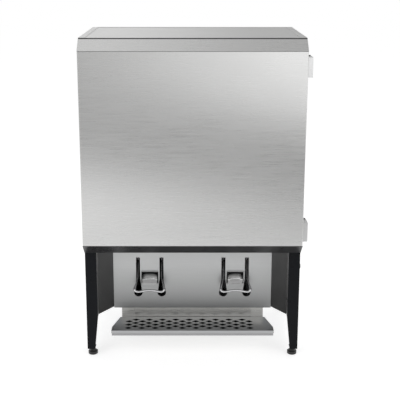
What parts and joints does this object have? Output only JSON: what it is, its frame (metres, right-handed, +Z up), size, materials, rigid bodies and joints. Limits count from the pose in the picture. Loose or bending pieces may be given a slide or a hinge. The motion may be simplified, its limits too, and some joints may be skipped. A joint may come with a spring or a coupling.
{
  "type": "refrigerated beverage dispenser",
  "caption": "Counter-top refrigerated beverage dispenser: hinged insulated door, lift handles with spouts behind keyhole slots, perforated drip tray, tapered legs on levelling feet.",
  "frame": {"origin": "on the counter, at the bottom centre of the whole object's box", "axes": "+Z up, -Y the front with the door and drip tray, +X the hinge side, on the right seen from the front"},
  "size_m": [0.7, 0.445, 1.035],
  "materials": {
    "stainless_front": "satin",
    "stainless_shell": "satin",
    "stainless_splash": "satin",
    "stainless_tray": "satin",
    "stainless_valve": "satin",
    "liner_steel": "satin",
    "black_trim": "satin",
    "black_enamel": "satin",
    "galvanised": "satin",
    "frame_plastic": "satin",
    "foam": "matte",
    "gasket_rubber": "matte",
    "hinge_metal": "satin",
    "handle_metal": "satin",
    "bar_chrome": "polished",
    "foot_steel": "satin",
    "plug_plastic": "satin",
    "mount_rubber": "matte",
    "compressor_paint": "gloss",
    "coil_aluminium": "satin",
    "fan_plastic": "matte",
    "copper": "satin",
    "control_plastic": "satin",
    "screw_steel": "satin"
  },
  "bodies": {
    "cabinet": {"base_pan": "galvanised", "bottom_panel": "stainless_shell", "cabinet_foam": "foam", "cabinet_screws": "screw_steel", "compressor": "compressor_paint", "compressor_mounts": "mount_rubber", "condenser": "coil_aluminium", "cord_gland": "control_plastic", "discharge_line": "copper", "evaporator_plate": "coil_aluminium", "fan_motor": "compressor_paint", "front_frame": "frame_plastic", "front_left_leg": "black_enamel", "front_right_leg": "black_enamel", "hinge_pins": "hinge_metal", "inner_liner": "liner_steel", "left_side_panel": "galvanised", "left_spout": "stainless_splash", "left_valve_body": "stainless_valve", "left_wing": "black_enamel", "leg_plug": "plug_plastic", "lower_hinge_bracket": "hinge_metal", "outer_shell": "stainless_shell", "outlet_sleeves": "stainless_tray", "pivot_pins": "stainless_valve", "rear_grille": "galvanised", "rear_left_leg": "black_enamel", "rear_right_leg": "black_enamel", "right_side_panel": "galvanised", "right_spout": "stainless_splash", "right_valve_body": "stainless_valve", "right_wing": "black_enamel", "splash_panel": "stainless_splash", "suction_line": "copper", "thermostat": "control_plastic", "top_cover": "stainless_shell", "tray_bracket": "stainless_tray", "upper_hinge_bracket": "hinge_metal"},
    "door": {"door_skin": "stainless_front", "door_top_trim": "stainless_front", "door_bottom_trim": "black_trim", "door_foam": "foam", "door_liner": "frame_plastic", "door_gasket": "gasket_rubber", "upper_hinge_leaf": "hinge_metal", "lower_hinge_leaf": "hinge_metal", "door_screws": "screw_steel"},
    "left_handle": {"left_handle_yoke": "handle_metal", "left_handle_bar": "bar_chrome"},
    "right_handle": {"right_handle_yoke": "handle_metal", "right_handle_bar": "bar_chrome"},
    "drip_tray": {"tray_pan": "stainless_tray"},
    "drip_grille": {"tray_grille": "stainless_tray"},
    "fan": {"fan_blade": "fan_plastic"},
    "knob": {"thermostat_knob": "control_plastic"},
    "front_left_leveller": {"front_left_foot": "foot_steel"},
    "front_right_leveller": {"front_right_foot": "foot_steel"},
    "rear_left_leveller": {"rear_left_foot": "foot_steel"},
    "rear_right_leveller": {"rear_right_foot": "foot_steel"}
  },
  "joints": [
    {"name": "door_swing", "type": "hinge", "parent": "cabinet", "child": "door", "pos_m": [0.343, -0.176, 0.6945], "axis": [0, 0, 1], "range_deg": [0, 120]},
    {"name": "left_handle_lift", "type": "hinge", "parent": "cabinet", "child": "left_handle", "pos_m": [-0.1485, -0.044, 0.292], "axis": [-1, 0, 0], "range_deg": [0, 35]},
    {"name": "right_handle_lift", "type": "hinge", "parent": "cabinet", "child": "right_handle", "pos_m": [0.1345, -0.044, 0.292], "axis": [-1, 0, 0], "range_deg": [0, 35]},
    {"name": "drip_tray_slide", "type": "slide", "parent": "cabinet", "child": "drip_tray", "axis": [0, -1, 0], "range_m": [0, 0.11]},
    {"name": "drip_grille_lift", "type": "slide", "parent": "drip_tray", "child": "drip_grille", "axis": [0, 0, 1], "range_m": [0, 0.06]},
    {"name": "condenser_fan_spin", "type": "hinge", "parent": "cabinet", "child": "fan", "pos_m": [0.148, 0.105, 0.235], "axis": [0, -1, 0], "continuous": true},
    {"name": "thermostat_knob_turn", "type": "hinge", "parent": "cabinet", "child": "knob", "pos_m": [-0.272, 0.202, 0.29], "axis": [0, 1, 0], "range_deg": [0, 270]},
    {"name": "front_left_foot_height", "type": "slide", "parent": "cabinet", "child": "front_left_leveller", "axis": [0, 0, -1], "range_m": [0, 0.012]},
    {"name": "front_right_foot_height", "type": "slide", "parent": "cabinet", "child": "front_right_leveller", "axis": [0, 0, -1], "range_m": [0, 0.012]},
    {"name": "rear_left_foot_height", "type": "slide", "parent": "cabinet", "child": "rear_left_leveller", "axis": [0, 0, -1], "range_m": [0, 0.012]},
    {"name": "rear_right_foot_height", "type": "slide", "parent": "cabinet", "child": "rear_right_leveller", "axis": [0, 0, -1], "range_m": [0, 0.012]}
  ]
}
